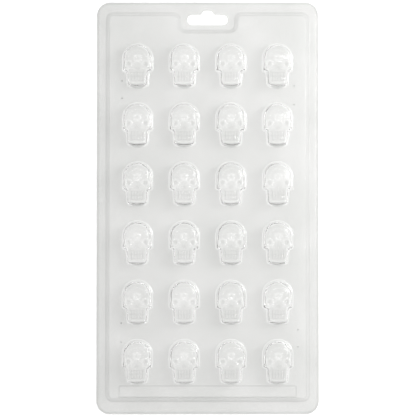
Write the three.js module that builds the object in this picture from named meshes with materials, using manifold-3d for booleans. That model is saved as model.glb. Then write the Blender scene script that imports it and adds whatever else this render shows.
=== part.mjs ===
// Clear vacuum-formed candy mould with a grid of small skull cavities.
// Millimetres, +Z up. The mould lies on its trimmed edge with the mouths of the cavities down,
// the middle of its footprint is the origin, and its hang slot is towards +Y.
// The real mould is one formed sheet. Each zone of the form is a solid of its own here.

import * as THREE from 'three';
import { mergeVertices } from 'three/addons/utils/BufferGeometryUtils.js';
import Module from 'manifold-3d';

// Sheet
const sheetWidth = 175;
const sheetLength = 325;
const sheetThickness = 0.6;
const sheetCornerRadius = 10.5;
const sheetCornerFacets = 4;

// Trimmed edge, turned down to a narrow flat foot
const footWidth = 1.2;
const footSlope = 0.8;
const footDrop = 0.8;

// Flange between the turned edge and the foot of the step wall
const sideMargin = 7.1;
const topMargin = 8;
const bottomMargin = 9.8;

// Step wall that lifts the panel off the flange
const panelRise = 3;
const wallRun = 3;
const wallCornerRadius = 6;
const wallCornerFacets = 3;

// Hang slot with a round bump for a single peg
const slotWidth = 32;
const slotHeight = 8;
const slotToEdge = 10;
const slotEndFacets = 6;
const slotFlat = 0.05;
const bumpWidth = 11;
const bumpTopWidth = 5.5;
const bumpHeight = 3.2;
const bumpRadius = 1.3;
const bumpFacets = 4;

// Tongue of the flange that the slot is cut in
const tongueWidth = 42;
const tongueBelowSlot = 3.8;
const tongueCornerRadius = 4;

// Raised land for a maker's line, left plain, and how far it keeps from the panel's sides
const landToSide = 7.4;
const landHeight = 10.4;
const landRise = 0.4;

// Grid of cavities, and how far it keeps from the panel's sides, the tongue's wall and the land
const columns = 4;
const rows = 6;
const gridToSide = 9.75;
const gridToTongue = 7.95;
const gridToLand = 0.25;

// Locating pips on the panel. Each is placed from the middle of a cavity in its column and row.
const pipRadius = 0.6;
const pipHeight = 0.4;
const pipSides = 5;
const pips = [
  { column: 1, row: 1, x: -12.35, y: -11.7 },
  { column: 1, row: 2, x: -12.35, y: 21 },
  { column: 4, row: 1, x: 13.15, y: -15.7 },
  { column: 4, row: 2, x: 13.15, y: 16 },
  { column: 1, row: 5, x: -12.75, y: -16.3 },
  { column: 1, row: 6, x: -12.75, y: 15.4 },
  { column: 4, row: 5, x: 15.85, y: -21.5 },
  { column: 4, row: 6, x: 15.85, y: 11.7 },
];

// Skull in plan, at the level of the panel
const skullLength = 36.3;
const crownWidth = 25.2;
const crownFacets = 3;
const cheekHeight = 13.3;
const jawHeight = 12.3;
const jawWidth = 19.1;
const chinWidth = 17.6;
const chinRadius = 3.6;
const chinSag = 1.3;

// Skull in section: how far each level lies inside the outline, and its height over the panel
const filletRun = 1.7;
const filletRise = 0.7;
const sideRun = 2.3;
const sideRise = 6.4;
const shoulderRun = 4;
const shoulderRise = 8.7;
const crownRise = 10;
const jawShare = 0.8;
const spineTop = 5.5;
const spineBottom = -11.5;

// Sockets of the face
const eyeSpacing = 13.2;
const eyeY = 1.4;
const eyeFloorRadius = 1.6;
const eyeDepth = 1.5;
const eyeSides = 5;
const noseY = -1.9;
const noseFloorRadius = 0.5;
const noseDepth = 1.3;
const noseSides = 3;
const socketFlare = 1;

// Gap between zones that meet along a curve
const seam = 0.3;

// Levels of the top of the sheet
const footTop = sheetThickness;
const flangeTop = footTop + footDrop;
const panelTop = flangeTop + panelRise;
const landTop = panelTop + landRise;

// Sides of the step wall's foot
const wallX = sheetWidth / 2 - sideMargin;
const wallHighY = sheetLength / 2 - topMargin;
const wallLowY = -sheetLength / 2 + bottomMargin;

// Slot, tongue and land
const slotHighY = sheetLength / 2 - slotToEdge;
const slotLowY = slotHighY - slotHeight;
const tongueLowY = slotLowY - tongueBelowSlot;
const landX = wallX - wallRun - landToSide;
const landTopY = wallLowY + wallRun + landHeight;

// Middles of the outer cavities, and the pitch between them
const gridX = wallX - wallRun - gridToSide - crownWidth / 2;
const gridHighY = tongueLowY - wallRun - gridToTongue - skullLength / 2;
const gridLowY = landTopY + gridToLand + skullLength / 2;
const columnPitch = 2 * gridX / (columns - 1);
const rowPitch = (gridHighY - gridLowY) / (rows - 1);

const wasm = await Module();
wasm.setup();

const plastic = { color: 0xe6e8e6, roughness: 0.12, metalness: 0 };
const mould = new THREE.Group();

function corner(x, y, radius = 0, facets = 0) {
  return { point: new THREE.Vector2(x, y), radius, facets };
}

function mirrored(half) {
  const other = half.map(({ point, radius, facets }) => corner(-point.x, point.y, radius, facets));
  return [...half, ...other.reverse()];
}

// Points of a closed outline whose corners run anticlockwise. The inset moves every side inwards.
// Where two arcs meet, their common point is kept once.
function outline(corners, inset = 0) {
  const sharpest = 0.05;
  const same = 1e-4;
  const points = corners.flatMap((here, i) => {
    const last = corners.at(i - 1);
    const next = corners[(i + 1) % corners.length];
    const along = here.point.clone().sub(last.point).normalize();
    const onward = next.point.clone().sub(here.point).normalize();
    const inward = new THREE.Vector2(-along.y, along.x);
    const mitre = inward.clone().add(new THREE.Vector2(-onward.y, onward.x));
    mitre.divideScalar(1 + along.dot(onward));
    const vertex = here.point.clone().addScaledVector(mitre, inset);
    if (!here.facets) return [vertex];

    const turn = Math.atan2(along.cross(onward), along.dot(onward));
    const side = Math.sign(turn);
    const radius = Math.max(here.radius - side * inset, sharpest);
    const centre = vertex.clone().addScaledVector(mitre, side * radius);
    const start = Math.atan2(-side * inward.y, -side * inward.x);
    return Array.from({ length: here.facets + 1 }, (_, k) => {
      const angle = start + turn * k / here.facets;
      return new THREE.Vector2(Math.cos(angle), Math.sin(angle)).multiplyScalar(radius).add(centre);
    });
  });
  return points.filter((point, i) => point.distanceTo(points.at(i - 1)) > same);
}

function rectangle(lowX, lowY, highX, highY, radius = 0, facets = 0) {
  return [[lowX, lowY], [highX, lowY], [highX, highY], [lowX, highY]]
    .map(([x, y]) => corner(x, y, radius, facets));
}

// Rings of points joined into one skin, each ring a list of Vector3 with as many points as the next
function skin(rings) {
  const count = rings[0].length;
  const positions = rings.flat().flatMap((p) => [p.x, p.y, p.z]);
  const index = [];
  for (let r = 0; r + 1 < rings.length; r += 1) {
    for (let i = 0; i < count; i += 1) {
      const a = r * count + i;
      const b = r * count + (i + 1) % count;
      index.push(a, b, b + count, a, b + count, a + count);
    }
  }
  return { positions, index };
}

function level(points, z) {
  return points.map((p) => new THREE.Vector3(p.x, p.y, z));
}

function toGeometry({ positions, index }) {
  const geometry = new THREE.BufferGeometry();
  geometry.setAttribute('position', new THREE.Float32BufferAttribute(positions, 3));
  geometry.setIndex(index);
  return geometry;
}

// A closed hoop of sheet: its top skin runs in from ring to ring, and its underside runs back
function hoop(topRings, underRings) {
  return toSolid(toGeometry(skin([...topRings, ...underRings.toReversed(), topRings[0]])));
}

function toSolid(geometry) {
  const bare = geometry.clone();
  bare.deleteAttribute('normal');
  bare.deleteAttribute('uv');
  const merged = mergeVertices(bare, 1e-5);
  return new wasm.Manifold(new wasm.Mesh({
    numProp: 3,
    vertProperties: new Float32Array(merged.attributes.position.array),
    triVerts: new Uint32Array(merged.index.array),
  }));
}

function fromSolid(solid) {
  const { vertProperties, triVerts, numProp } = solid.getMesh();
  const geometry = new THREE.BufferGeometry();
  const positions = [];
  for (let v = 0; v < vertProperties.length; v += numProp) {
    positions.push(...vertProperties.subarray(v, v + 3));
  }
  geometry.setAttribute('position', new THREE.Float32BufferAttribute(positions, 3));
  geometry.setIndex(Array.from(triVerts));
  geometry.computeVertexNormals();
  return geometry;
}

// A flat plate of sheet whose top is at the given level
function plate(points, top, holes = [], thickness = sheetThickness) {
  const shape = new THREE.Shape(points);
  shape.holes = holes.map((hole) => new THREE.Path(hole));
  const geometry = new THREE.ExtrudeGeometry(shape, { depth: thickness, bevelEnabled: false });
  geometry.translate(0, 0, top - thickness);
  return toSolid(geometry);
}

function block(lowX, lowY, highX, highY) {
  const height = 4 * (panelTop + crownRise);
  return plate(outline(rectangle(lowX, lowY, highX, highY)), height / 2, [], height);
}

function add(name, solid, x = 0, y = 0) {
  const mesh = new THREE.Mesh(fromSolid(solid), new THREE.MeshStandardMaterial(plastic));
  mesh.name = name;
  mesh.position.set(x, y, 0);
  mould.add(mesh);
}

// Section of the sheet, as [run inwards, height] of its top, moved through to the underside
function underside(section) {
  return section.slice(1, -1).map(([run, rise], i) => {
    const along = new THREE.Vector2(run - section[i][0], rise - section[i][1]).normalize();
    const onward = new THREE.Vector2(section[i + 2][0] - run, section[i + 2][1] - rise).normalize();
    const down = new THREE.Vector2(along.y, -along.x).add(new THREE.Vector2(onward.y, -onward.x));
    down.multiplyScalar(sheetThickness / (1 + along.dot(onward)));
    return [run + down.x, rise + down.y];
  });
}

// Trimmed edge and flange

const sheetCorners = rectangle(
  -sheetWidth / 2, -sheetLength / 2, sheetWidth / 2, sheetLength / 2,
  sheetCornerRadius, sheetCornerFacets,
);
const flangeInnerCorners = rectangle(
  -wallX - seam, wallLowY - seam, wallX + seam, wallHighY + seam,
  wallCornerRadius + seam, sheetCornerFacets,
);
const tabX = tongueWidth / 2 + wallCornerRadius + seam;

const edgeSection = [
  [-footWidth, footTop],
  [0, footTop],
  [footWidth, footTop],
  [footWidth + footSlope, flangeTop],
  [sideMargin, flangeTop],
];
const edgeRings = edgeSection.slice(1, -1).map(([run, z]) => level(outline(sheetCorners, run), z));
const edgeUnderRings = underside(edgeSection)
  .map(([run, z]) => level(outline(sheetCorners, run), z));
const flangeInner = outline(flangeInnerCorners);
const turnedEdge = hoop(
  [...edgeRings, level(flangeInner, flangeTop)],
  [...edgeUnderRings, level(flangeInner, flangeTop - sheetThickness)],
);
const tabZone = block(-tabX, tongueLowY, tabX, sheetLength / 2 + footWidth);
add('rim_flange', turnedEdge.subtract(tabZone));

// Hang tab: the flange's middle and the tongue below it, with the slot through them

const tongueCorners = [
  corner(tabX, wallHighY + seam),
  corner(tabX, wallHighY + topMargin / 2),
  corner(-tabX, wallHighY + topMargin / 2),
  corner(-tabX, wallHighY + seam),
  corner(-tongueWidth / 2 + seam, wallHighY + seam, wallCornerRadius + seam, wallCornerFacets),
  corner(-tongueWidth / 2 + seam, tongueLowY + seam, tongueCornerRadius - seam, wallCornerFacets),
  corner(tongueWidth / 2 - seam, tongueLowY + seam, tongueCornerRadius - seam, wallCornerFacets),
  corner(tongueWidth / 2 - seam, wallHighY + seam, wallCornerRadius + seam, wallCornerFacets),
];
const slotCorners = mirrored([
  corner(slotWidth / 2, slotLowY, slotHeight / 2 - slotFlat, slotEndFacets / 2),
  corner(slotWidth / 2, slotHighY, slotHeight / 2 - slotFlat, slotEndFacets / 2),
  corner(bumpWidth / 2, slotHighY),
  corner(bumpTopWidth / 2, slotHighY + bumpHeight, bumpRadius, bumpFacets / 2),
]);
const tongue = plate(outline(tongueCorners), flangeTop);
const slot = plate(outline(slotCorners), panelTop, [], panelTop);
add('hang_tab', turnedEdge.intersect(tabZone).add(tongue).subtract(slot));

// Step wall round the panel, drawn in round the tongue

const wallCorners = mirrored([
  corner(wallX, wallLowY, wallCornerRadius, wallCornerFacets),
  corner(wallX, wallHighY, wallCornerRadius, wallCornerFacets),
  corner(tongueWidth / 2, wallHighY, wallCornerRadius, wallCornerFacets),
  corner(tongueWidth / 2, tongueLowY, tongueCornerRadius, wallCornerFacets),
]);
const wallSection = [
  [-wallRun, flangeTop],
  [0, flangeTop],
  [wallRun, panelTop],
  [2 * wallRun, panelTop],
];
const wallRings = wallSection.slice(1, -1).map(([run, z]) => level(outline(wallCorners, run), z));
const wallUnderRings = underside(wallSection)
  .map(([run, z]) => level(outline(wallCorners, run), z));
add('step_wall', hoop(wallRings, wallUnderRings));

// Skull: plan, section and face

const chinY = -skullLength / 2;
const cheekY = chinY + cheekHeight;
const jawY = chinY + jawHeight;
const skullCorners = [
  corner(0, chinY),
  ...mirrored([
    corner(chinWidth / 2, chinY + chinSag, chinRadius, 1),
    corner(jawWidth / 2, jawY),
    corner(crownWidth / 2, cheekY),
    corner(crownWidth / 2, skullLength / 2, crownWidth / 2, crownFacets),
  ]),
];
const skullSection = [
  [-filletRun, 0],
  [0, 0],
  [filletRun, filletRise],
  [sideRun, sideRise],
  [shoulderRun, shoulderRise],
  [crownWidth / 2, crownRise],
];

// The jaw is lower than the cranium. The height changes under the cheeks, between jaw and wall.
function heightShare(y) {
  const high = cheekY + sideRun;
  return THREE.MathUtils.mapLinear(THREE.MathUtils.clamp(y, jawY, high), jawY, high, jawShare, 1);
}

// A closed skull form over rings of [run, rise], with its depth below the panel's own face
function skullForm(rings, below, floor) {
  const raised = (points, rise) => points.map(({ x, y }) => (
    new THREE.Vector3(x, y, (rise + below) * heightShare(y) - below)
  ));
  const loops = rings.map(([run, rise]) => raised(outline(skullCorners, run), rise));
  const base = outline(skullCorners, rings[0][0]);
  const spine = loops.at(-1).map(({ y }) => {
    const spineY = THREE.MathUtils.clamp(y, spineBottom, spineTop);
    return new THREE.Vector3(0, spineY, crownRise * heightShare(spineY) - below);
  });
  const form = skin([level(base, floor), ...loops, spine]);
  const bottom = THREE.ShapeUtils.triangulateShape(base, []);
  bottom.forEach(([a, b, c]) => form.index.push(c, b, a));
  const geometry = mergeVertices(toGeometry(form), 1e-5);
  geometry.setIndex(withoutSlivers(geometry.index.array));
  return toSolid(geometry);
}

// Triangles with two corners on the same point of the spine are left out
function withoutSlivers(index) {
  const kept = [];
  for (let i = 0; i < index.length; i += 3) {
    const [a, b, c] = index.subarray(i, i + 3);
    if (a !== b && b !== c && c !== a) kept.push(a, b, c);
  }
  return kept;
}

// A tapered socket with its floor at the given height, grown all round by the wall of its shell
function socket(sides, floorRadius, floorZ, x, y, wall) {
  const apothem = floorRadius + wall * (Math.hypot(1, socketFlare) - socketFlare);
  const height = crownRise;
  const toRadius = 1 / Math.cos(Math.PI / sides);
  const geometry = new THREE.CylinderGeometry(
    (apothem + height * socketFlare) * toRadius, apothem * toRadius, height, sides,
  );
  geometry.rotateX(Math.PI / 2);
  geometry.translate(x, y, floorZ - wall + height / 2);
  return toSolid(geometry);
}

function face(wall) {
  const eyeFloor = THREE.MathUtils.mapLinear(
    eyeSpacing / 2, crownWidth / 2 - shoulderRun, 0, shoulderRise, crownRise,
  ) - eyeDepth;
  const eyes = [-1, 1].map((side) => (
    socket(eyeSides, eyeFloorRadius, eyeFloor, side * eyeSpacing / 2, eyeY, wall)
  ));
  const nose = socket(noseSides, noseFloorRadius, crownRise - noseDepth, 0, noseY, wall);
  return eyes[0].add(eyes[1]).add(nose);
}

const outerForm = skullForm(skullSection.slice(1, -1), 0, -sheetThickness).subtract(face(0));
const hollowSection = [[0, -sheetThickness], ...underside(skullSection).slice(1)];
const innerForm = skullForm(hollowSection, sheetThickness, -2 * sheetThickness)
  .subtract(face(sheetThickness));
const skull = outerForm.subtract(innerForm).translate([0, 0, panelTop]);

function middleX(column) {
  return (column - 1) * columnPitch - gridX;
}

function middleY(row) {
  return gridHighY - (row - 1) * rowPitch;
}

const cavities = Array.from({ length: rows * columns }, (_, i) => {
  const row = Math.floor(i / columns) + 1;
  const column = i % columns + 1;
  return { name: `skull_cavity_r${row}c${column}`, x: middleX(column), y: middleY(row) };
});
cavities.forEach(({ name, x, y }) => add(name, skull, x, y));

// Panel between the cavities, one zone for each row of them

const mouth = outline(skullCorners, -seam);
const mouths = cavities.map(({ x, y }) => mouth.map((p) => new THREE.Vector2(p.x + x, p.y + y)));
const pipForms = pips.map(({ column, row, x, y }) => {
  const geometry = new THREE.CylinderGeometry(pipRadius, pipRadius, sheetThickness + pipHeight, pipSides);
  geometry.rotateX(Math.PI / 2);
  geometry.translate(middleX(column) + x, middleY(row) + y, panelTop + (pipHeight - sheetThickness) / 2);
  return toSolid(geometry);
});
const landZone = block(-landX, wallLowY, landX, landTopY);
const web = plate(outline(wallCorners, wallRun + seam), panelTop, mouths).subtract(landZone);
const panel = pipForms.reduce((whole, pip) => whole.add(pip), web);

for (let row = 1; row <= rows; row += 1) {
  const low = row === rows ? wallLowY : middleY(row) - rowPitch / 2;
  const high = row === 1 ? wallHighY : middleY(row) + rowPitch / 2;
  add(`panel_row_${row}`, panel.intersect(block(-wallX, low, wallX, high)));
}

// Raised land at the bottom of the panel

const landCorners = rectangle(-landX, wallLowY + wallRun + seam, landX, landTopY);
add('label_land', plate(outline(landCorners), landTop, [], sheetThickness));

export default mould;
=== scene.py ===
"""Dressed model of a clear vacuum-formed candy mould with small skull cavities.

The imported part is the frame. One formed sheet stands for its rim, step wall, hang tab, panel and
land, and one thin shell stands for each skull cavity. Lengths are metres, and the sizes of the
form are written in millimetres times MM.
"""

import logging
import math
from dataclasses import dataclass, field, replace
from enum import Enum

import bmesh
import bpy
from mathutils import Matrix, Vector


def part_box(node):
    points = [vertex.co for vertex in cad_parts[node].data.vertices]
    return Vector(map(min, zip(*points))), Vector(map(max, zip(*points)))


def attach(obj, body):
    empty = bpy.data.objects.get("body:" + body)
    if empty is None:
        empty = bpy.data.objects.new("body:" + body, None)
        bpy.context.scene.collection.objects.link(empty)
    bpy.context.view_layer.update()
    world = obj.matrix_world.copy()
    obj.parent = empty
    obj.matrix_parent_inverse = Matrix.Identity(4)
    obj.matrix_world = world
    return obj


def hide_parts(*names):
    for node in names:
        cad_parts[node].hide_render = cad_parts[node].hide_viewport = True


MM = 0.001
BODY = "root"

# A span is where a smooth rise starts and ends, and a band is a bump's middle and half width
Span = tuple[float, float]
Band = tuple[float, float]
Colour = tuple[float, float, float]

log = logging.getLogger("candy_mould")

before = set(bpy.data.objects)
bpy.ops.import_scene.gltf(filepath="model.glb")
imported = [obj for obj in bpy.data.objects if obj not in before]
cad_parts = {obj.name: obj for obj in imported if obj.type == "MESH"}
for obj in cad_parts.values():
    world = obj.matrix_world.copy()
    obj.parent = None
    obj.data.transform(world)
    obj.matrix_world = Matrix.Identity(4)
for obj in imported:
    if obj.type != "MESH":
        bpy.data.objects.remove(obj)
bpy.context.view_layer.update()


# Outlines and sections


@dataclass(frozen=True)
class Corner:
    """A corner of a line in a plane, rounded by a radius and drawn in facets.

    An inset makes the radius of a hollow corner larger, up to the largest one that it may have.
    """

    x: float
    y: float
    radius: float = 0.0
    facets: int = 0
    largest: float = math.inf

    def mirrored(self) -> "Corner":
        """The same corner on the other side of the Y axis."""
        return replace(self, x=-self.x)


def mirrored(half: list[Corner]) -> list[Corner]:
    """Closes the right half of an outline with its mirror image.

    Args:
        half: corners of the right half, in anticlockwise order.

    Returns:
        The corners of the whole outline.
    """
    return half + [corner.mirrored() for corner in reversed(half)]


def rounded(last: Corner, here: Corner, ahead: Corner, inset: float = 0.0) -> list[Vector]:
    """Draws one corner as an arc between the lines to its two neighbours.

    Args:
        last: the corner before it.
        here: the corner to draw.
        ahead: the corner after it.
        inset: how far both lines are moved to their left.

    Returns:
        The arc's points, or the corner itself if it has no facets.
    """
    sharpest = 0.05 * MM
    vertex = Vector((here.x, here.y))
    along = (vertex - Vector((last.x, last.y))).normalized()
    onward = (Vector((ahead.x, ahead.y)) - vertex).normalized()
    inward = Vector((-along.y, along.x))
    mitre = (inward + Vector((-onward.y, onward.x))) / (1 + along.dot(onward))
    vertex = vertex + mitre * inset
    if not here.facets:
        return [vertex]
    turn = math.atan2(along.x * onward.y - along.y * onward.x, along.dot(onward))
    side = math.copysign(1.0, turn)
    radius = min(max(here.radius - side * inset, sharpest), here.largest)
    centre = vertex + mitre * side * radius
    start = math.atan2(-side * inward.y, -side * inward.x)
    angles = (start + turn * k / here.facets for k in range(here.facets + 1))
    return [centre + Vector((math.cos(a), math.sin(a))) * radius for a in angles]


def outline(corners: list[Corner], inset: float = 0.0) -> list[Vector]:
    """Draws a closed outline through rounded corners.

    Args:
        corners: the corners, anticlockwise.
        inset: how far every side is moved inwards.

    Returns:
        The outline's points, as many for every inset.
    """
    count = len(corners)
    arcs = (
        rounded(corners[i - 1], corners[i], corners[(i + 1) % count], inset) for i in range(count)
    )
    return [point for arc in arcs for point in arc]


def section(path: list[Corner], parts: int = 1) -> list[Vector]:
    """Draws an open section, as run inwards and height, through rounded bends.

    Args:
        path: the bends, with the first and the last left sharp.
        parts: how many pieces each straight stretch is cut into.

    Returns:
        The section's points.
    """
    arcs = [[Vector((path[0].x, path[0].y))]]
    arcs += [rounded(*path[i - 1:i + 2]) for i in range(1, len(path) - 1)]
    arcs.append([Vector((path[-1].x, path[-1].y))])
    points = list(arcs[0])
    for arc in arcs[1:]:
        start = points[-1]
        points += [start.lerp(arc[0], k / parts) for k in range(1, parts)]
        points += arc
    return points


def spread(points: list[Vector], counts: list[int]) -> list[Vector]:
    """Cuts each side of a closed outline into equal parts.

    Args:
        points: the outline's corners.
        counts: how many parts the side after each corner gets.

    Returns:
        The finer outline's points.
    """
    ends = points[1:] + points[:1]
    return [
        a.lerp(b, k / count)
        for a, b, count in zip(points, ends, counts) for k in range(count)
    ]


def level(points: list[Vector], z: float) -> list[Vector]:
    """Lifts plane points to one height."""
    return [Vector((p.x, p.y, z)) for p in points]


def smooth(low: float, high: float, value: float) -> float:
    """Rises smoothly from 0 at low to 1 at high, or falls if low is above high."""
    share = min(max((value - low) / (high - low), 0.0), 1.0)
    return share * share * (3 - 2 * share)


def bump(distance: float, width: float) -> float:
    """A rounded bump that is 1 at no distance and 0 from its width outwards."""
    share = min(abs(distance) / width, 1.0)
    return (1 - share * share) ** 2


def within(band: Band, value: float) -> float:
    """The bump of a band, which is its middle and its half width, at a value."""
    return bump(value - band[0], band[1])


# Modelling helpers


def select_only(obj: bpy.types.Object) -> None:
    """Makes one object the whole selection and the active one.

    Args:
        obj: the object.
    """
    bpy.ops.object.select_all(action="DESELECT")
    obj.select_set(True)
    bpy.context.view_layer.objects.active = obj


def apply_modifier(obj: bpy.types.Object, kind: str, **settings: object) -> None:
    """Adds a modifier with its settings and applies it.

    Args:
        obj: the object to change.
        kind: the modifier's type.
        settings: its properties by name.
    """
    select_only(obj)
    modifier = obj.modifiers.new(kind.title(), kind)
    for name, value in settings.items():
        setattr(modifier, name, value)
    bpy.ops.object.modifier_apply(modifier=modifier.name)


class Loft:
    """A skin drawn ring by ring: a circle is added, and its edge is extruded to each next ring."""

    def __init__(self, name: str, first: list[Vector]) -> None:
        """Adds the circle and shapes it to the first ring.

        Args:
            name: the object's name.
            first: places of the first ring's vertices.
        """
        bpy.ops.object.select_all(action="DESELECT")
        bpy.ops.mesh.primitive_circle_add(vertices=len(first), radius=MM)
        self.obj = bpy.context.active_object
        self.obj.name = name
        self.obj.data.name = name
        self.count = len(first)
        bpy.ops.object.mode_set(mode="EDIT")
        bpy.ops.mesh.select_all(action="SELECT")
        self._shape(first)

    def _shape(self, ring: list[Vector]) -> None:
        """Moves the newest ring's vertices.

        Args:
            ring: their places.
        """
        mesh = bmesh.from_edit_mesh(self.obj.data)
        mesh.verts.ensure_lookup_table()
        for vertex, place in zip(mesh.verts[-self.count:], ring):
            vertex.co = place
        bmesh.update_edit_mesh(self.obj.data)

    def through(self, rings: list[list[Vector]]) -> "Loft":
        """Extrudes the newest ring's edges to each further ring.

        Args:
            rings: places of the further rings' vertices.

        Returns:
            The loft itself.
        """
        for ring in rings:
            bpy.ops.mesh.extrude_edges_move()
            self._shape(ring)
        return self

    def done(self) -> bpy.types.Object:
        """Leaves edit mode and returns the object."""
        bpy.ops.object.mode_set(mode="OBJECT")
        return self.obj


def join(name: str, parts: list[bpy.types.Object]) -> bpy.types.Object:
    """Joins objects into the first one and renames it.

    Args:
        name: the joined object's name.
        parts: the objects to join.

    Returns:
        The joined object.
    """
    select_only(parts[0])
    for part in parts[1:]:
        part.select_set(True)
    if len(parts) > 1:
        bpy.ops.object.join()
    parts[0].name = parts[0].data.name = name
    return parts[0]


def merge_doubles(obj: bpy.types.Object, distance: float) -> None:
    """Merges vertices that lie on each other and points the faces outwards.

    Args:
        obj: the object to change.
        distance: how far apart two merged vertices may be.
    """
    select_only(obj)
    bpy.ops.object.mode_set(mode="EDIT")
    bpy.ops.mesh.select_all(action="SELECT")
    bpy.ops.mesh.remove_doubles(threshold=distance)
    bpy.ops.mesh.normals_make_consistent(inside=False)
    bpy.ops.object.mode_set(mode="OBJECT")


def thicken(obj: bpy.types.Object, thickness: float) -> None:
    """Gives a skin its wall below it, with the wall's edge upright at the skin's border.

    Args:
        obj: the skin, which is the wall's upper side.
        thickness: the wall's thickness.
    """
    top = len(obj.data.vertices)
    border = border_vertices(obj)
    apply_modifier(obj, "SOLIDIFY", thickness=thickness, offset=-1.0, use_even_offset=False)
    for index in border:
        above = obj.data.vertices[index].co
        obj.data.vertices[top + index].co = above - Vector((0, 0, thickness))


def border_vertices(obj: bpy.types.Object) -> list[int]:
    """Finds the vertices on a skin's open border.

    Args:
        obj: the skin.

    Returns:
        Their indices.
    """
    mesh = bmesh.new()
    mesh.from_mesh(obj.data)
    found = [vertex.index for vertex in mesh.verts if vertex.is_boundary]
    mesh.free()
    return found


def face_up(obj: bpy.types.Object) -> None:
    """Turns a skin's faces to look upwards."""
    if sum(face.normal.z * face.area for face in obj.data.polygons) < 0:
        obj.data.flip_normals()


# Finish


class PaintedLightAttribute(Enum):
    """Painted light and shade at a place, and the sheet's stretch, kept as vertex attributes."""

    # Painted highlight and shade, and the stretch that paints the steep sides lighter
    MARK = "painted_light_and_shade"
    STRETCH = "stretch_and_painted_lift"

    def write(self, obj: bpy.types.Object, values: list[float]) -> None:
        """Writes the attribute, with one value for each vertex."""
        attribute = obj.data.attributes.new(self.value, "FLOAT", "POINT")
        attribute.data.foreach_set("value", values)


def combine(
    tree: bpy.types.NodeTree,
    operation: str,
    first: bpy.types.NodeSocket,
    second: bpy.types.NodeSocket,
) -> bpy.types.NodeSocket:
    """Adds a Math node that combines two values.

    Args:
        tree: the tree that gets the node.
        operation: what the node does.
        first: the first value.
        second: the second value.

    Returns:
        The node's output.
    """
    node = tree.nodes.new("ShaderNodeMath")
    node.operation = operation
    tree.links.new(first, node.inputs[0])
    tree.links.new(second, node.inputs[1])
    return node.outputs[0]


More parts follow.
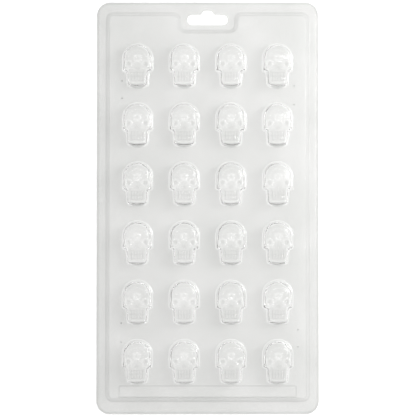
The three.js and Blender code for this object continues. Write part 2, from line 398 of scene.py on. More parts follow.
@dataclass(frozen=True)
class ClearPlastic:
    """Clear formed plastic, glossy and faintly cloudy, with painted highlights and painted shade.
    """

    name: str = "clear_formed_plastic"
    face_colour: Colour = (0.764, 0.764, 0.753)
    # Painted light: a lighter colour for stretched steep sides, a painted highlight and a painted
    # shade
    stretch_lift_colour: Colour = (0.994, 0.994, 0.988)
    painted_highlight_colour: Colour = (0.972, 0.972, 0.965)
    painted_shade_colour: Colour = (0.2, 0.202, 0.198)
    cloud_colour: Colour = (0.93, 0.935, 0.93)
    ior: float = 1.14
    coat: float = 0.22
    clarity: float = 0.9
    roughness: float = 0.07
    edge_blend: float = 0.6
    cloud_size: float = 45 * MM
    cloud_detail: float = 3.0
    cloud_span: Span = (0.35, 0.65)
    ripple_size: float = 30 * MM
    ripple_detail: float = 2.0
    ripple_height: float = 0.05 * MM
    face_shadow: Colour = (0.95, 0.95, 0.95)
    edge_shadow: Colour = (0.6, 0.6, 0.6)
    shadow_blend: float = 0.2

    def build(self) -> bpy.types.Material:
        """Builds the material: the plastic, which lets the light of shadows through.

        Returns:
            The finished material.
        """
        material = bpy.data.materials.new(self.name)
        material.use_nodes = True
        tree = material.node_tree
        tree.nodes.clear()
        ray = tree.nodes.new("ShaderNodeLightPath").outputs
        choose = tree.nodes.new("ShaderNodeMixShader")
        out = tree.nodes.new("ShaderNodeOutputMaterial")
        unseen = combine(tree, "MAXIMUM", ray["Is Shadow Ray"], ray["Is Diffuse Ray"])
        tree.links.new(unseen, choose.inputs["Fac"])
        tree.links.new(self._plastic(tree), choose.inputs[1])
        tree.links.new(self._shadow(tree), choose.inputs[2])
        tree.links.new(choose.outputs["Shader"], out.inputs["Surface"])
        return material

    def _plastic(self, tree: bpy.types.NodeTree) -> bpy.types.NodeSocket:
        """Builds the plastic as seen, with its tint, painted light and shade, and a faint ripple.

        Args:
            tree: the material's tree.

        Returns:
            The shader's output.
        """
        nodes, links = tree.nodes, tree.links
        shader = nodes.new("ShaderNodeBsdfPrincipled")
        shader.inputs["IOR"].default_value = self.ior
        shader.inputs["Transmission Weight"].default_value = self.clarity
        shader.inputs["Roughness"].default_value = self.roughness
        shader.inputs["Coat Weight"].default_value = self.coat
        shader.inputs["Coat Roughness"].default_value = self.roughness
        place = nodes.new("ShaderNodeTexCoord")
        ripple = nodes.new("ShaderNodeTexNoise")
        ripple.inputs["Scale"].default_value = 1 / self.ripple_size
        ripple.inputs["Detail"].default_value = self.ripple_detail
        relief = nodes.new("ShaderNodeBump")
        relief.inputs["Distance"].default_value = self.ripple_height
        facing = nodes.new("ShaderNodeLayerWeight")
        facing.inputs["Blend"].default_value = self.edge_blend
        links.new(place.outputs["Object"], ripple.inputs["Vector"])
        links.new(ripple.outputs["Fac"], relief.inputs["Height"])
        links.new(relief.outputs["Normal"], shader.inputs["Normal"])
        links.new(relief.outputs["Normal"], facing.inputs["Normal"])
        tint = nodes.new("ShaderNodeGroup")
        tint.node_tree = self._tint()
        links.new(place.outputs["Object"], tint.inputs["Place"])
        links.new(facing.outputs["Facing"], tint.inputs["Edge"])
        # Painted light and shade, and the stretch that lifts the steep sides, from the vertex
        # attributes
        for painted_kind, socket in ((PaintedLightAttribute.MARK, "Light and shade"), (PaintedLightAttribute.STRETCH, "Stretch lift")):
            attribute = nodes.new("ShaderNodeAttribute")
            attribute.attribute_name = painted_kind.value
            links.new(attribute.outputs["Fac"], tint.inputs[socket])
        links.new(tint.outputs["Colour"], shader.inputs["Base Color"])
        return shader.outputs["BSDF"]

    def _shadow(self, tree: bpy.types.NodeTree) -> bpy.types.NodeSocket:
        """Builds the plastic as light passes it: clear on a face and greyer on an edge.

        Args:
            tree: the material's tree.

        Returns:
            The shader's output.
        """
        nodes, links = tree.nodes, tree.links
        clear = nodes.new("ShaderNodeBsdfTransparent")
        slant = nodes.new("ShaderNodeLayerWeight")
        slant.inputs["Blend"].default_value = self.shadow_blend
        shade = nodes.new("ShaderNodeMix")
        shade.data_type = "RGBA"
        shade.inputs["A"].default_value = (*self.face_shadow, 1)
        shade.inputs["B"].default_value = (*self.edge_shadow, 1)
        links.new(slant.outputs["Facing"], shade.inputs["Factor"])
        links.new(shade.outputs["Result"], clear.inputs["Color"])
        return clear.outputs["BSDF"]

    def _tint(self) -> bpy.types.NodeTree:
        """Builds the group that colours the plastic from its clouds and paints light and shade on
        it.

        Returns:
            The group's tree.
        """
        tree = bpy.data.node_groups.new("tint_and_painted_light", "ShaderNodeTree")
        sides, nodes, links = tree.interface, tree.nodes, tree.links
        sides.new_socket("Place", in_out="INPUT", socket_type="NodeSocketVector")
        for name in ("Edge", "Light and shade", "Stretch lift"):
            sides.new_socket(name, in_out="INPUT", socket_type="NodeSocketFloat")
        sides.new_socket("Colour", in_out="OUTPUT", socket_type="NodeSocketColor")
        source = nodes.new("NodeGroupInput")
        cloud = nodes.new("ShaderNodeTexNoise")
        cloud.inputs["Scale"].default_value = 1 / self.cloud_size
        cloud.inputs["Detail"].default_value = self.cloud_detail
        links.new(source.outputs["Place"], cloud.inputs["Vector"])
        thick = nodes.new("ShaderNodeMapRange")
        thick.inputs["From Min"].default_value = self.cloud_span[0]
        thick.inputs["From Max"].default_value = self.cloud_span[1]
        links.new(cloud.outputs["Fac"], thick.inputs["Value"])
        # Painted highlight on crests, the flare and over the chin; painted shade in hollows, bends
        # and lens
        crest, groove = (nodes.new("ShaderNodeMath") for _ in range(2))
        for node, sign in ((crest, 1.0), (groove, -1.0)):
            node.operation = "MULTIPLY"
            node.use_clamp = True
            node.inputs[1].default_value = sign
            links.new(source.outputs["Light and shade"], node.inputs[0])
        # Steep sides are painted lighter where they were stretched and turn edge-on
        thin = combine(tree, "MULTIPLY", source.outputs["Edge"], source.outputs["Stretch lift"])
        colour = nodes.new("ShaderNodeRGB")
        colour.outputs[0].default_value = (*self.face_colour, 1)
        last = colour.outputs[0]
        for share, other, blend in (
            (thick.outputs["Result"], self.cloud_colour, "MULTIPLY"),
            (thin, self.stretch_lift_colour, "MIX"),
            (crest.outputs[0], self.painted_highlight_colour, "MIX"),
            (groove.outputs[0], self.painted_shade_colour, "MIX"),
        ):
            mix = nodes.new("ShaderNodeMix")
            mix.data_type = "RGBA"
            mix.blend_type = blend
            mix.inputs["B"].default_value = (*other, 1)
            links.new(share, mix.inputs["Factor"])
            links.new(last, mix.inputs["A"])
            last = mix.outputs["Result"]
        sink = nodes.new("NodeGroupOutput")
        links.new(last, sink.inputs["Colour"])
        return tree


# Skull cavity


@dataclass(frozen=True)
class Face:
    """Relief of the skull's face, by place from the skull's middle.

    Sizes named share are parts of the raised height or of the size beside them, and marks are the
    painted highlight on a full crest and the painted shade in a full hollow. The teeth's painted
    shade reaches gum_side over the upper gum.
    """

    raised: float = 0.5 * MM
    # Painted highlight on crests, painted shade in hollows and, deepest, in the teeth's grooves
    crest_highlight: float = 0.32
    hollow_shade: float = 0.06
    tooth_shade: float = 0.17
    scallop_share: float = 0.7
    petal_share: float = 0.45
    dimple_share: float = 0.5
    dimple_depth_share: float = 0.8
    eye_spacing: float = 13.2 * MM
    eye_y: float = 0.7 * MM
    eye_radius: float = 1.7 * MM
    eye_floor: float = 0.68 * MM
    eye_depth: float = 0.8 * MM
    eye_ring: float = 2.5 * MM
    eye_petals: int = 8
    nose_y: float = -2.4 * MM
    nose_depth: float = 1.1 * MM
    nose_lobe: tuple[float, float] = (0.8 * MM, -0.8 * MM)
    nose_lobe_edge: Span = (1.25 * MM, 0.5 * MM)
    nose_point_shape: tuple[float, float] = (1.6, 0.8)
    nose_point_edge: Span = (1.3 * MM, 0.4 * MM)
    brow_middle: tuple[float, float] = (3.4 * MM, 4.3 * MM)
    brow_radius: float = 3.0 * MM
    brow_width: float = 0.6 * MM
    brow_side: Span = (3.6 * MM, 2.6 * MM)
    brow_height: float = 0.4 * MM
    cheek_y: float = -3.0 * MM
    cheek_x: float = 5 * MM
    cheek_slope: float = 0.08
    cheek_side: Span = (2.4 * MM, 3.6 * MM)
    cheek_share: float = 0.8
    low_ledge: Band = (0.0, 0.6 * MM)
    high_ledge: Band = (1.3 * MM, 0.5 * MM)
    high_ledge_share: float = 0.8
    dot_middle: tuple[float, float] = (3.2 * MM, -0.2 * MM)
    dot_radius: float = 0.7 * MM
    upper_gum: Band = (-5.9 * MM, 0.4 * MM)
    lower_gum: Band = (-12.3 * MM, 0.4 * MM)
    gum_share: float = 0.5
    gum_side: float = 1 * MM
    bite_width: float = 0.45 * MM
    tooth_pitch: float = 2.2 * MM
    teeth: int = 5
    tooth_groove: float = 0.8 * MM
    tooth_groove_width: float = 0.4 * MM
    tooth_end: float = 0.3 * MM
    tooth_side: Span = (0.5 * MM, 0.1 * MM)
    middle_tooth_share: float = 1.6
    flower_y: float = 5.0 * MM
    flower_ring: float = 2.4 * MM
    flower_petals: int = 6
    crown_y: float = 4.6 * MM
    bead_ring: float = 6.9 * MM
    bead_radius: float = 0.75 * MM
    beads: int = 9

    def height(self, x: float, y: float) -> float:
        """Height that the face adds to the smooth form.

        Args:
            x: place across the skull.
            y: place along it.

        Returns:
            The added height, negative in a hollow.
        """
        side = abs(x)
        return (
            self._eye(side - self.eye_spacing / 2, y - self.eye_y)
            + self._nose(side, y - self.nose_y)
            + self._cheek(side, y)
            + self._petals(x, y - self.flower_y, self.flower_ring, self.flower_petals)
            + self._beads(x, y - self.crown_y)
            + self._brow(side, y)
            - self._teeth(side, y)
        )

    def mark(self, relief: float, y: float) -> float:
        """Painted highlight on a crest and painted shade in a hollow, darkest in the teeth's
        hollows.

        Args:
            relief: the face's height at the place.
            y: the place along the skull.

        Returns:
            The mark, above 0 where it is lighter.
        """
        share = min(max(relief / self.raised, -1.0), 1.0)
        if share > 0:
            return self.crest_highlight * share
        in_teeth = y < self.upper_gum[0] + self.gum_side
        return share * (self.tooth_shade if in_teeth else self.hollow_shade)

    def _petals(self, x: float, y: float, ring: float, count: int) -> float:
        """A ring of petals round a hollow dimple.

        Args:
            x: place across, from the ring's middle.
            y: place along, from the ring's middle.
            ring: the ring's radius.
            count: how many petals it has.

        Returns:
            The added height.
        """
        reach = math.hypot(x, y)
        turn = abs(math.cos(count / 2 * math.atan2(x, y)))
        petals = (1 - self.scallop_share) + self.scallop_share * turn
        petals *= bump(reach - ring, self.petal_share * ring)
        dimple = self.dimple_depth_share * bump(reach, self.dimple_share * ring)
        return self.raised * (petals - dimple)

    def _eye(self, x: float, y: float) -> float:
        """A round socket in a ring of petals."""
        socket = 1 - smooth(self.eye_floor, self.eye_radius, math.hypot(x, y))
        return self._petals(x, y, self.eye_ring, self.eye_petals) - self.eye_depth * socket

    def _nose(self, side: float, y: float) -> float:
        """A hollow like a heart with its point up.

        Args:
            side: distance from the skull's middle line.
            y: place along, from the nose's middle.

        Returns:
            The added height, negative in the hollow.
        """
        lobe = math.dist((side, y), self.nose_lobe)
        point = math.hypot(side * self.nose_point_shape[0], y * self.nose_point_shape[1])
        hollow = max(smooth(*self.nose_lobe_edge, lobe), smooth(*self.nose_point_edge, point))
        return -self.nose_depth * hollow

    def _brow(self, side: float, y: float) -> float:
        """Two scrolls that rise from the nose to the brows."""
        path = math.dist((side, y), self.brow_middle) - self.brow_radius
        return self.brow_height * bump(path, self.brow_width) * smooth(*self.brow_side, side)

    def _cheek(self, side: float, y: float) -> float:
        """Two ledges under the eye, and a dot over them.

        Args:
            side: distance from the skull's middle line.
            y: place along the skull.

        Returns:
            The added height.
        """
        over = y - self.cheek_y + self.cheek_slope * (side - self.cheek_x)
        ledges = within(self.low_ledge, over)
        ledges += self.high_ledge_share * within(self.high_ledge, over)
        ledges *= self.cheek_share * smooth(*self.cheek_side, side)
        dot = bump(math.dist((side, y), self.dot_middle), self.dot_radius)
        return self.raised * (ledges + dot)

    def _beads(self, x: float, y: float) -> float:
        """A row of beads over the forehead.

        Args:
            x: place across, from the middle of the row's circle.
            y: place along, from the middle of the row's circle.

        Returns:
            The added height.
        """
        step = math.pi / (self.beads + 1)
        turn = min(max(round(math.atan2(y, x) / step), 1), self.beads) * step
        bead = self.bead_ring * math.cos(turn), self.bead_ring * math.sin(turn)
        return self.raised * bump(math.dist((x, y), bead), self.bead_radius)

    def _teeth(self, side: float, y: float) -> float:
        """Depth of the grooves round two rows of teeth, deepest beside the middle ones.

        Args:
            side: distance from the skull's middle line.
            y: place along the skull.

        Returns:
            The grooves' depth.
        """
        half = self.teeth * self.tooth_pitch / 2
        inside = smooth(half + self.tooth_side[0], half + self.tooth_side[1], side)
        high, low, end = self.upper_gum[0], self.lower_gum[0], self.tooth_end
        between = smooth(low - end, low + end, y) * smooth(high + end, high - end, y)
        nearest = abs((side / self.tooth_pitch + 0.5) % 1.0 - 0.5) * self.tooth_pitch
        depth = self.middle_tooth_share if side < self.tooth_pitch / 2 else 1.0
        upright = depth * bump(nearest, self.tooth_groove_width) * between
        bite = bump(y - (high + low) / 2, self.bite_width)
        gums = self.gum_share * max(within(self.upper_gum, y), within(self.lower_gum, y))
        return self.tooth_groove * max(upright, bite, gums) * inside


@dataclass(frozen=True)
class SidePaintedLight:
    """Where a skull's side stretched, and its painted highlights and painted shade.

    A place is given by its distance across the skull, its rise, which is its distance along the
    skull from the chin, and its height over the foot.
    """

    # The stretch also paints the steep side lighter as it turns edge-on
    stretch_foot: Span = (0.4 * MM, 0.8 * MM)
    stretch_top: Span = (9.0 * MM, 8.2 * MM)
    # A painted highlight on the flare at the foot
    flare: Band = (0.26 * MM, 0.26 * MM)
    flare_highlight: float = 0.75
    # Painted shade at the foot's bend and at the shoulder
    foot_bend: Band = (0.6 * MM, 0.15 * MM)
    shoulder: Band = (8.2 * MM, 0.8 * MM)
    bend_shade: float = -0.04
    # A lens of painted shade under the chin
    lens_side: Span = (6.4 * MM, 4.6 * MM)
    lens_edge: Band = (0.3 * MM, 0.3 * MM)
    lens_curve: float = 20 * MM
    lens_top: Span = (3.8 * MM, 3.2 * MM)
    lens_shade: float = -0.2
    # A painted highlight over the chin
    smile: Band = (3.9 * MM, 0.7 * MM)
    smile_curve: float = 30 * MM
    smile_side: Span = (7 * MM, 5 * MM)
    smile_highlight: float = 0.25

    def _lens(self, x: float, rise: float) -> float:
        """The lens of painted shade under the chin, rounded below.

        Args:
            x: distance across the skull.
            rise: distance from the chin.

        Returns:
            How much of the place is in the lens.
        """
        over = rise - x * x / self.lens_curve
        middle, half = self.lens_edge
        lens = smooth(*self.lens_side, abs(x)) * smooth(middle - half, middle + half, over)
        return lens * smooth(*self.lens_top, rise)

    def stretch(self, x: float, rise: float, height: float) -> float:
        """How much the sheet was thinned at a place: fully on the steep side, and not in the lens.
        """
        side = smooth(*self.stretch_foot, height) * smooth(*self.stretch_top, height)
        return side * (1 - self._lens(x, rise))

    def mark(self, x: float, rise: float, height: float) -> float:
        """Painted highlight on the flare and the smile over the chin, and painted shade at the
        bends and in the lens.

        Args:
            x: distance across the skull.
            rise: distance from the chin.
            height: height over the foot.

        Returns:
            The mark, above 0 where it is lighter.
        """
        lens = self._lens(x, rise)
        bends = within(self.foot_bend, height) + within(self.shoulder, height)
        side = self.flare_highlight * within(self.flare, height) + self.bend_shade * bends
        smile = within(self.smile, rise - x * x / self.smile_curve)
        smile *= smooth(*self.smile_side, abs(x))
        return side * (1 - lens) + self.lens_shade * lens + self.smile_highlight * smile


@dataclass(frozen=True)
class SkullCavity:
    """A hollow skull: plan outline, wall sections and dome, about its middle."""

    length: float = 36.3 * MM
    crown_width: float = 25.2 * MM
    crown_radius: float = 12.5 * MM
    cheek_height: float = 13.3 * MM
    cheek_radius: float = 2.4 * MM
    jaw_height: float = 12.3 * MM
    jaw_width: float = 19.1 * MM
    jaw_radius: float = 1.2 * MM
    chin_width: float = 17.6 * MM
    chin_radius: float = 3.6 * MM
    chin_sag: float = 1.3 * MM
    chin_curve: float = 14 * MM
    jaw_share: float = 0.82
    crown_rise: float = 9.6 * MM
    spine_top: float = 5.5 * MM
    spine_bottom: float = -11.5 * MM
    spacing: float = 0.42 * MM
    dome_rings: int = 34
    merge_distance: float = 0.02 * MM
    inner_share: float = 0.7
    step_over_cheek: float = 2.3 * MM
    slope_rise: Span = (7 * MM, 18 * MM)
    slope_side: Span = (7.5 * MM, 4.5 * MM)
    jaw_section_rise: Span = (5 * MM, 1.8 * MM)
    face_foot: Span = (5 * MM, 7.2 * MM)
    face: Face = field(default_factory=Face)
    marks: SidePaintedLight = field(default_factory=SidePaintedLight)

    def corners(self) -> list[Corner]:
        """Draws the foot's outline, anticlockwise from the chin's middle.

        Returns:
            The outline's corners.
        """
        chin = -self.length / 2
        half = [
            Corner(self.chin_width / 2, chin + self.chin_sag, self.chin_radius, 12),
            Corner(self.jaw_width / 2, chin + self.jaw_height, self.jaw_radius, 5, self.jaw_radius),
            Corner(self.crown_width / 2, chin + self.cheek_height, self.cheek_radius, 6),
            Corner(self.crown_width / 2, self.length / 2, self.crown_radius, 44),
        ]
        return [Corner(0, chin, self.chin_curve, 4)] + mirrored(half)

    def wall(self) -> list[Vector]:
        """Draws the side: a flared foot, a steep side and a round shoulder.

        Returns:
            The section's points.
        """
        return section([
            Corner(0, 0),
            Corner(0.12 * MM, 0, 0.4 * MM, 4),
            Corner(0.7 * MM, 0.4 * MM, 0.8 * MM, 4),
            Corner(1.7 * MM, 0.7 * MM, 0.5 * MM, 5),
            Corner(2.3 * MM, 7.2 * MM, 1.4 * MM, 5),
            Corner(3.8 * MM, 8.8 * MM, 2.2 * MM, 4),
            Corner(4.8 * MM, 9.0 * MM),
        ], 3)

    def jaw_wall(self) -> list[Vector]:
        """Draws the side of the jaw and of the cheeks' undersides, which is steeper.

        Returns:
            The section's points.
        """
        return section([
            Corner(0, 0),
            Corner(0.12 * MM, 0, 0.4 * MM, 4),
            Corner(0.6 * MM, 0.35 * MM, 0.6 * MM, 4),
            Corner(1.15 * MM, 0.7 * MM, 0.4 * MM, 5),
            Corner(1.7 * MM, 7.3 * MM, 1.2 * MM, 5),
            Corner(3.2 * MM, 8.8 * MM, 2.0 * MM, 4),
            Corner(4.6 * MM, 9.0 * MM),
        ], 3)

    def mouth(self) -> list[Vector]:
        """The foot's outline, which the sheet shares."""
        return spread(outline(self.corners()), self._counts())

    def _counts(self) -> list[int]:
        """Counts the parts that each side of the foot's outline is cut into.

        Returns:
            The number for each side.
        """
        points = outline(self.corners())
        sides = zip(points, points[1:] + points[:1])
        return [max(1, round((b - a).length / self.spacing)) for a, b in sides]

    def _height_share(self, x: float, y: float) -> float:
        """How high the skull stands, as a share of the cranium's height.

        The jaw is lower. The height falls softly in the middle, and at a step under the cheeks.

        Args:
            x: place across the skull.
            y: place along it.

        Returns:
            The share.
        """
        rise = y + self.length / 2
        step = smooth(self.jaw_height, self.cheek_height + self.step_over_cheek, rise)
        slope = smooth(*self.slope_rise, rise)
        middle = smooth(*self.slope_side, abs(x))
        return self.jaw_share + (1 - self.jaw_share) * (step + (slope - step) * middle)

    def _jaw_section_share(self, y: float) -> float:
        """How much of the jaw's own section a place of the foot has."""
        return smooth(*self.jaw_section_rise, y + self.length / 2 - self.cheek_height)

    def _rings(self) -> list[list[Vector]]:
        """Draws the rings of the smooth form, from the foot over the dome to the spine.

        Returns:
            The rings, with as many places each.
        """
        corners, counts = self.corners(), self._counts()
        shares = [self._jaw_section_share(p.y) for p in self.mouth()]
        rings = []
        for side, front in zip(self.wall(), self.jaw_wall()):
            pairs = zip(
                spread(outline(corners, side.x), counts),
                spread(outline(corners, front.x), counts),
                shares,
            )
            ring = []
            for a, b, share in pairs:
                place = a.lerp(b, share)
                rise = side.y + (front.y - side.y) * share
                ring.append(Vector((place.x, place.y, rise * self._height_share(place.x, place.y))))
            rings.append(ring)
        shoulder = rings[-1]
        for k in range(1, self.dome_rings + 1):
            t = k / self.dome_rings
            ring = []
            for p in shoulder:
                spine = Vector((0, min(max(p.y, self.spine_bottom), self.spine_top)))
                place = Vector((p.x, p.y)).lerp(spine, t)
                top = self.crown_rise * self._height_share(place.x, place.y)
                ring.append(Vector((*place, p.z + (top - p.z) * (1 - (1 - t) ** 2))))
            rings.append(ring)
        return rings

    def build(self, name: str, top: float, thickness: float) -> bpy.types.Object:
        """Models the shell about its own middle.

        Args:
            name: the object's name.
            top: height of the panel's upper face.
            thickness: the sheet's thickness.

        Returns:
            The shell, a closed thin wall.
        """
        first, *further = self._rings()
        obj = Loft(name, first).through(further).done()
        merge_doubles(obj, self.merge_distance)
        face_up(obj)
        outer = len(obj.data.vertices)
        thicken(obj, thickness)
        marks, stretches = [], []
        for vertex in obj.data.vertices:
            x, y, z = vertex.co
            inner = vertex.index >= outer
            height = z + thickness if inner else z
            relief = self.face.height(x, y) * smooth(*self.face_foot, height)
            vertex.co.z = z + relief * (self.inner_share if inner else 1.0) + top
            place = x, y + self.length / 2, height / self._height_share(x, y)
            # Painted highlight and shade from the relief and the side, and the stretch that lifts
            # steep sides
            marks.append(self.face.mark(relief, y) + self.marks.mark(*place))
            stretches.append(self.marks.stretch(*place))
        PaintedLightAttribute.MARK.write(obj, marks)
        PaintedLightAttribute.STRETCH.write(obj, stretches)
        return obj


# Formed sheet


@dataclass(frozen=True)
class HangTab:
    """The slot for a peg, and the tongue of the flange that it is cut in."""

    slot_width: float = 32 * MM
    slot_height: float = 8 * MM
    slot_to_edge: float = 10 * MM
    bump_width: float = 11 * MM
    bump_top: float = 5.5 * MM
    bump_height: float = 3.2 * MM
    bump_foot_radius: float = 0.5 * MM
    bump_top_radius: float = 1.8 * MM
    end_flat: float = 0.05 * MM
    tongue_width: float = 42 * MM
    tongue_below_slot: float = 3.8 * MM
    tongue_corner: float = 4 * MM
    tongue_shoulder: float = 6 * MM

    def slot(self, edge_y: float) -> list[Corner]:
        """Draws the slot, with its bump towards the sheet's edge.

        Args:
            edge_y: place of the sheet's upper edge.

        Returns:
            The slot's corners.
        """
        high = edge_y - self.slot_to_edge
        low = high - self.slot_height
        end = self.slot_height / 2 - self.end_flat
        return mirrored([
            Corner(self.slot_width / 2, low, end, 12),
            Corner(self.slot_width / 2, high, end, 12),
            Corner(self.bump_width / 2, high, self.bump_foot_radius, 4),
            Corner(self.bump_top / 2, high + self.bump_height, self.bump_top_radius, 8),
        ])

    def tongue(self, wall_y: float, edge_y: float) -> list[Corner]:
        """Draws the right half of the step wall's foot round the tongue.

        Args:
            wall_y: place of the foot beside the tongue.
            edge_y: place of the sheet's upper edge.

        Returns:
            The half's corners.
        """
        low = edge_y - self.slot_to_edge - self.slot_height - self.tongue_below_slot
        return [
            Corner(self.tongue_width / 2, wall_y, self.tongue_shoulder, 12),
            Corner(self.tongue_width / 2, low, self.tongue_corner, 12),
        ]


@dataclass(frozen=True)
class Land:
    """A long, shallow raised land at the bottom of the panel, left plain."""

    width: float = 140 * MM
    height: float = 10.4 * MM
    rise: float = 0.4 * MM
    run: float = 0.45 * MM
    corner: float = 1.2 * MM
    margin: float = 0.6 * MM
    edge_flat: float = 0.25 * MM
    edge_reach: float = 1.2 * MM

    def corners(self, wall_y: float) -> list[Corner]:
        """Draws the land's outline.

        Args:
            wall_y: place of the step wall's upper edge below the land.

        Returns:
            The outline's corners.
        """
        x = self.width / 2
        return mirrored([
            Corner(x, wall_y + self.margin, self.corner, 6),
            Corner(x, wall_y + self.height, self.corner, 6),
        ])

    def section(self) -> list[Vector]:
        """Draws the land's edge.

        Returns:
            The section's points.
        """
        return section([
            Corner(0, 0),
            Corner(self.edge_flat, 0, 0.4 * MM, 3),
            Corner(self.edge_flat + self.run, self.rise, 0.75 * MM, 4),
            Corner(self.edge_reach, self.rise),
        ])


@dataclass(frozen=True)
class Pips:
    """Small raised locating pips."""

    radius: float = 0.8 * MM
    height: float = 0.42 * MM
    sides: int = 14
    rings: int = 5
    places: tuple[tuple[float, float], ...] = (
        (-67.4, 99.9), (-67.4, 86.1), (68.2, 95.9), (68.2, 81.1),
        (-67.8, -90.7), (-67.8, -105.5), (70.9, -95.9), (70.9, -109.2),
    )

    def ring(self, place: tuple[float, float], share: float = 1.0) -> list[Vector]:
        """Draws a circle round a pip.

        Args:
            place: the pip's middle, in millimetres.
            share: the circle's radius as a share of the pip's.

        Returns:
            The circle's points.
        """
        turns = (math.tau * k / self.sides for k in range(self.sides))
        reach, (x, y) = self.radius * share, place
        return [
            Vector((x * MM + reach * math.cos(a), y * MM + reach * math.sin(a))) for a in turns
        ]

    def build(self, place: tuple[float, float], base: float) -> bpy.types.Object:
        """Models one pip as a small dome.

        Args:
            place: the pip's middle, in millimetres.
            base: height of the panel under it.

        Returns:
            The pip's skin.
        """
        shares = (math.cos(k / self.rings * math.pi / 2) for k in range(1, self.rings + 1))
        return Loft("pip", level(self.ring(place), base)).through([
            level(self.ring(place, share), base + self.height * smooth(1, 0.1, share))
            for share in shares
        ]).done()


@dataclass(frozen=True)
class SheetPaintedLight:
    """Painted highlight, above 0, or painted shade on each zone of the sheet.

    The bands on the step wall are shares of its height, and the spans of the pips and of the land's
    edge are heights over the panel.
    """

    # Painted shade on the turned edge, and faint painted light on the flange
    foot: float = -0.1
    foot_depth: float = 0.1 * MM
    flange: float = 0.04
    # Painted highlight in the step wall's middle, painted shade at its bends
    wall_highlight: float = 0.5
    wall_highlight_band: Band = (0.5, 0.3)
    wall_end: float = 0.999
    wall_bend_shade: float = -0.15
    wall_bend_bands: tuple[Band, Band] = ((0.06, 0.1), (0.95, 0.08))
    # Painted shade on the pips and at the land's edge
    pip: float = -0.6
    pip_span: Span = (0.02 * MM, 0.1 * MM)
    land_edge: float = -0.2
    land_edge_span: Span = (0.01 * MM, 0.05 * MM)

    def wall(self, share: float) -> float:
        """The painted highlight or shade at a share of the step wall's height."""
        bends = sum(within(band, share) for band in self.wall_bend_bands)
        return self.wall_highlight * within(self.wall_highlight_band, share) + self.wall_bend_shade * bends


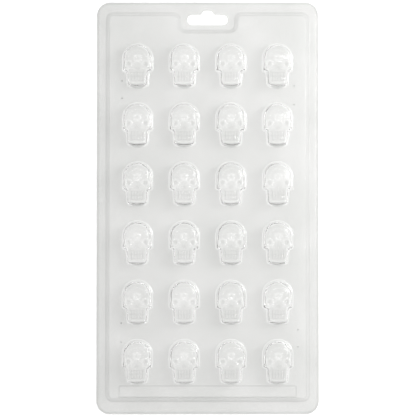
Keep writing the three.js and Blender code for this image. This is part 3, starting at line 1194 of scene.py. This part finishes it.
@dataclass(frozen=True)
class FormedSheet:
    """The sheet outside the cavities: turned edge, flange, step wall, panel, tab, land and pips."""

    width: float = 175 * MM
    length: float = 325 * MM
    thickness: float = 0.6 * MM
    corner_radius: float = 10.5 * MM
    foot_width: float = 1.2 * MM
    foot_slope: float = 0.8 * MM
    foot_drop: float = 0.8 * MM
    side_margin: float = 7.1 * MM
    top_margin: float = 8.0 * MM
    bottom_margin: float = 9.8 * MM
    panel_rise: float = 3.0 * MM
    wall_run: float = 3.0 * MM
    wall_corner: float = 6.0 * MM
    support: float = 0.7 * MM
    merge_distance: float = 0.005 * MM
    tolerance: float = 0.01 * MM
    tab: HangTab = field(default_factory=HangTab)
    land: Land = field(default_factory=Land)
    pips: Pips = field(default_factory=Pips)
    marks: SheetPaintedLight = field(default_factory=SheetPaintedLight)

    @property
    def flange_top(self) -> float:
        """Height of the flange's upper face."""
        return self.thickness + self.foot_drop

    @property
    def panel_top(self) -> float:
        """Height of the panel's upper face."""
        return self.flange_top + self.panel_rise

    def edge_corners(self) -> list[Corner]:
        """The trimmed outline."""
        x, y = self.width / 2, self.length / 2
        return mirrored([Corner(x, end, self.corner_radius, 20) for end in (-y, y)])

    def wall_corners(self) -> list[Corner]:
        """Draws the foot of the step wall, with its way round the tongue.

        Returns:
            The foot's corners.
        """
        x = self.width / 2 - self.side_margin
        high = self.length / 2 - self.top_margin
        low = -self.length / 2 + self.bottom_margin
        return mirrored([
            Corner(x, low, self.wall_corner, 14),
            Corner(x, high, self.wall_corner, 14),
            *self.tab.tongue(high, self.length / 2),
        ])

    def edge_section(self) -> list[Vector]:
        """Draws the turned edge, from the trimmed side to the flange.

        Returns:
            The section's points.
        """
        end = self.foot_width + self.foot_slope
        return section([
            Corner(0, self.thickness),
            Corner(self.foot_width, self.thickness, 0.4 * MM, 5),
            Corner(end, self.flange_top, 0.8 * MM, 5),
            Corner(end + self.support, self.flange_top),
        ])

    def wall_section(self) -> list[Vector]:
        """Draws the step wall, from the flange to the panel.

        Returns:
            The section's points.
        """
        return section([
            Corner(-self.support, self.flange_top),
            Corner(0, self.flange_top, 0.6 * MM, 5),
            Corner(self.wall_run, self.panel_top, 1.1 * MM, 6),
            Corner(self.wall_run + self.support, self.panel_top),
        ])

    def build(self, name: str, mouth: list[Vector], places: list[Vector]) -> bpy.types.Object:
        """Models the sheet with a mouth for each cavity.

        Args:
            name: the object's name.
            mouth: outline of a cavity's foot about its own middle.
            places: the middle of each cavity.

        Returns:
            The sheet, a closed thin wall.
        """
        edge, wall = self.edge_corners(), self.wall_corners()
        edge_section, wall_section = self.edge_section(), self.wall_section()
        land = self.land.corners(-self.length / 2 + self.bottom_margin + self.wall_run)
        land_section = self.land.section()
        land_top = self.panel_top + self.land.rise
        parts = [
            self._hoop("edge", edge, edge_section),
            self._hoop("wall", wall, wall_section),
            self._hoop("land_edge", land, land_section, self.panel_top),
            self._face("land_face", [level(outline(land, land_section[-1].x), land_top)]),
            self._face("flange", [
                level(outline(edge, edge_section[-1].x), self.flange_top),
                level(outline(wall, wall_section[0].x), self.flange_top),
                level(outline(self.tab.slot(self.length / 2)), self.flange_top),
            ]),
            self._face("panel", [
                level(outline(wall, wall_section[-1].x), self.panel_top),
                level(outline(land), self.panel_top),
                *(level(self.pips.ring(place), self.panel_top) for place in self.pips.places),
                *(level([p + place for p in mouth], self.panel_top) for place in places),
            ]),
            *(self.pips.build(place, self.panel_top) for place in self.pips.places),
        ]
        sheet = join(name, parts)
        merge_doubles(sheet, self.merge_distance)
        face_up(sheet)
        outer = len(sheet.data.vertices)
        thicken(sheet, self.thickness)
        # Painted light and shade on each zone of the sheet
        marks = []
        for vertex in sheet.data.vertices:
            under = self.thickness if vertex.index >= outer else 0.0
            marks.append(self._mark(vertex.co.y, vertex.co.z + under))
        PaintedLightAttribute.MARK.write(sheet, marks)
        return sheet

    def _mark(self, y: float, height: float) -> float:
        """How much painted highlight or painted shade a place gets.

        Args:
            y: place along the sheet.
            height: height of the place on the sheet's upper side.

        Returns:
            The mark, above 0 where it is lighter.
        """
        if height < self.flange_top - self.marks.foot_depth:
            return self.marks.foot
        if height < self.flange_top + self.tolerance:
            return self.marks.flange
        wall = (height - self.flange_top) / self.panel_rise
        if wall < self.marks.wall_end:
            return self.marks.wall(wall)
        raised = height - self.panel_top
        panel_end = self.bottom_margin + self.wall_run - self.length / 2
        if y > panel_end + 2 * self.land.height:
            return self.marks.pip * smooth(*self.marks.pip_span, raised)
        if raised > self.land.rise - self.tolerance:
            return 0.0
        return self.marks.land_edge * smooth(*self.marks.land_edge_span, raised)

    def _hoop(
        self, name: str, corners: list[Corner], path: list[Vector], base: float = 0.0
    ) -> bpy.types.Object:
        """Draws a hoop along an outline.

        Args:
            name: the object's name.
            corners: the outline.
            path: the hoop's section, as runs inwards and heights.
            base: height that the section stands on.

        Returns:
            The hoop's skin.
        """
        first, *further = (level(outline(corners, p.x), p.y + base) for p in path)
        return Loft(name, first).through(further).done()

    def _face(self, name: str, loops: list[list[Vector]]) -> bpy.types.Object:
        """Fills a flat face between its outer loop and the loops of its holes.

        Args:
            name: the object's name.
            loops: places along each loop.

        Returns:
            The face.
        """
        obj = join(name, [Loft(name, loop).done() for loop in loops])
        bpy.ops.object.mode_set(mode="EDIT")
        bpy.ops.mesh.select_all(action="SELECT")
        bpy.ops.mesh.fill(use_beauty=True)
        bpy.ops.object.mode_set(mode="OBJECT")
        return obj


# Mould


@dataclass
class CandyMould:
    """The whole mould: the formed sheet and its grid of skull cavities."""

    sheet: FormedSheet = field(default_factory=FormedSheet)
    skull: SkullCavity = field(default_factory=SkullCavity)
    finish: ClearPlastic = field(default_factory=ClearPlastic)
    smooth_angle: float = math.radians(50)
    normal_weight: int = 80

    def middle(self, node: str) -> Vector:
        """Finds the middle of a cavity's footprint.

        Args:
            node: the cavity's node in the frame.

        Returns:
            The middle, in the plane of the sheet.
        """
        low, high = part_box(node)
        return Vector(((low[0] + high[0]) / 2, high[1] - self.skull.length / 2))

    def build(self) -> None:
        """Builds, dresses and places every piece."""
        plastic = self.finish.build()
        cavities = sorted(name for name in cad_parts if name.startswith("skull_cavity"))
        zones = [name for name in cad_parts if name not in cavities]
        places = [self.middle(node) for node in cavities]
        sheet = self.sheet.build("formed_sheet", self.skull.mouth(), places)
        self._dress(sheet, plastic, zones)
        model = self.skull.build("skull", self.sheet.panel_top, self.sheet.thickness)
        for node, place in zip(cavities, places):
            name = node.replace("cavity", "shell")
            mesh = model.data.copy()
            mesh.name = name
            mesh.transform(Matrix.Translation((*place, 0)))
            copy = bpy.data.objects.new(name, mesh)
            bpy.context.scene.collection.objects.link(copy)
            self._dress(copy, plastic, [node])
        bpy.data.objects.remove(model)

    def _dress(self, obj: bpy.types.Object, material: bpy.types.Material, nodes: list[str]) -> None:
        """Gives a piece its finish and its body, and hides the frame's nodes that it stands for.

        Args:
            obj: the piece.
            material: its finish.
            nodes: names of the nodes in the frame.
        """
        obj.data.materials.clear()
        obj.data.materials.append(material)
        select_only(obj)
        bpy.ops.object.shade_smooth_by_angle(angle=self.smooth_angle)
        apply_modifier(obj, "WEIGHTED_NORMAL", mode="FACE_AREA", weight=self.normal_weight,
                       keep_sharp=True)
        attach(obj, BODY)
        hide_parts(*nodes)
        log.info("%s: %d faces", obj.name, len(obj.data.polygons))


# Studio


@dataclass(frozen=True)
class SoftBox:
    """A rectangular soft lamp that looks at the middle of the floor."""

    name: str
    place: tuple[float, float, float]
    size: tuple[float, float]
    watts: float

    def build(self) -> None:
        """Builds the lamp."""
        data = bpy.data.lights.new(self.name, "AREA")
        data.shape = "RECTANGLE"
        data.size, data.size_y = self.size
        data.energy = self.watts
        lamp = bpy.data.objects.new(self.name, data)
        bpy.context.scene.collection.objects.link(lamp)
        lamp.location = self.place
        lamp.rotation_euler = (-Vector(self.place)).to_track_quat("-Z", "Y").to_euler()


@dataclass(frozen=True)
class Studio:
    """Pale floor, two soft boxes, a dim surround and the camera above the mould."""

    camera_height: float = 1.1
    camera_lean: float = math.radians(1.4)
    camera_sensor: float = 36.0
    view_width: float = 0.3284
    aim: tuple[float, float] = (0.35 * MM, -0.25 * MM)
    floor_size: float = 6.0
    floor_gap: float = 0.2 * MM
    floor_colour: Colour = (0.9, 0.9, 0.9)
    floor_seen_light: float = 0.34
    surround_span: Span = (0.8, 0.3)
    surround_fade: float = 0.7
    boxes: tuple[SoftBox, ...] = (
        SoftBox("left_box", (-0.75, 0.1, 0.75), (0.6, 0.9), 0.6),
        SoftBox("right_box", (0.58, 0.2, 0.68), (0.35, 0.8), 8.7),
    )

    def build(self) -> None:
        """Builds the floor, the lights and the camera."""
        scene = bpy.context.scene
        scene.view_settings.view_transform = "Standard"
        self._world(scene)
        self._floor()
        for box in self.boxes:
            box.build()
        self._camera(scene)

    def _camera(self, scene: bpy.types.Scene) -> None:
        """Puts the camera above the mould, with the lean of the photograph's.

        Args:
            scene: the scene that gets it.
        """
        data = bpy.data.cameras.new("camera")
        camera = bpy.data.objects.new("camera", data)
        scene.collection.objects.link(camera)
        data.sensor_width = self.camera_sensor
        data.lens = self.camera_sensor * self.camera_height / self.view_width
        camera.location = (
            self.aim[0],
            self.aim[1] - self.camera_height * math.sin(self.camera_lean),
            self.camera_height * math.cos(self.camera_lean),
        )
        camera.rotation_euler = (self.camera_lean, 0, 0)
        scene.camera = camera

    def _world(self, scene: bpy.types.Scene) -> None:
        """Surrounds the scene with white that fades towards the top.

        Args:
            scene: the scene that gets it.
        """
        world = bpy.data.worlds.new("surround")
        world.use_nodes = True
        nodes, links = world.node_tree.nodes, world.node_tree.links
        background = nodes["Background"]
        background.inputs["Color"].default_value = (1, 1, 1, 1)
        place = nodes.new("ShaderNodeTexCoord")
        height = nodes.new("ShaderNodeSeparateXYZ")
        fade = nodes.new("ShaderNodeMapRange")
        fade.inputs["From Max"].default_value = self.surround_fade
        fade.inputs["To Min"].default_value = self.surround_span[0]
        fade.inputs["To Max"].default_value = self.surround_span[1]
        links.new(place.outputs["Generated"], height.inputs["Vector"])
        links.new(height.outputs["Z"], fade.inputs["Value"])
        links.new(fade.outputs["Result"], background.inputs["Strength"])
        scene.world = world

    def _floor(self) -> None:
        """Lays a pale table that shows white past the object and keeps its shadow."""
        bpy.ops.object.select_all(action="DESELECT")
        bpy.ops.mesh.primitive_plane_add(size=self.floor_size, location=(0, 0, -self.floor_gap))
        floor = bpy.context.active_object
        floor.name = "floor"
        material = bpy.data.materials.new("pale_table")
        material.use_nodes = True
        nodes, links = material.node_tree.nodes, material.node_tree.links
        shader = nodes["Principled BSDF"]
        shader.inputs["Base Color"].default_value = (*self.floor_colour, 1)
        shader.inputs["Roughness"].default_value = 1.0
        shader.inputs["Specular IOR Level"].default_value = 0.0
        shader.inputs["Emission Color"].default_value = (1, 1, 1, 1)
        ray = nodes.new("ShaderNodeLightPath").outputs
        seen = ray["Is Camera Ray"]
        for kind in ("Is Glossy Ray", "Is Transmission Ray"):
            seen = combine(material.node_tree, "MAXIMUM", seen, ray[kind])
        scale = nodes.new("ShaderNodeMath")
        scale.operation = "MULTIPLY"
        scale.inputs[1].default_value = self.floor_seen_light
        links.new(seen, scale.inputs[0])
        links.new(scale.outputs[0], shader.inputs["Emission Strength"])
        floor.data.materials.append(material)


def main() -> None:
    """Builds the mould and the studio."""
    logging.basicConfig(level=logging.INFO, format="%(name)s: %(message)s")
    CandyMould().build()
    Studio().build()


if __name__ == "__main__":
    main()
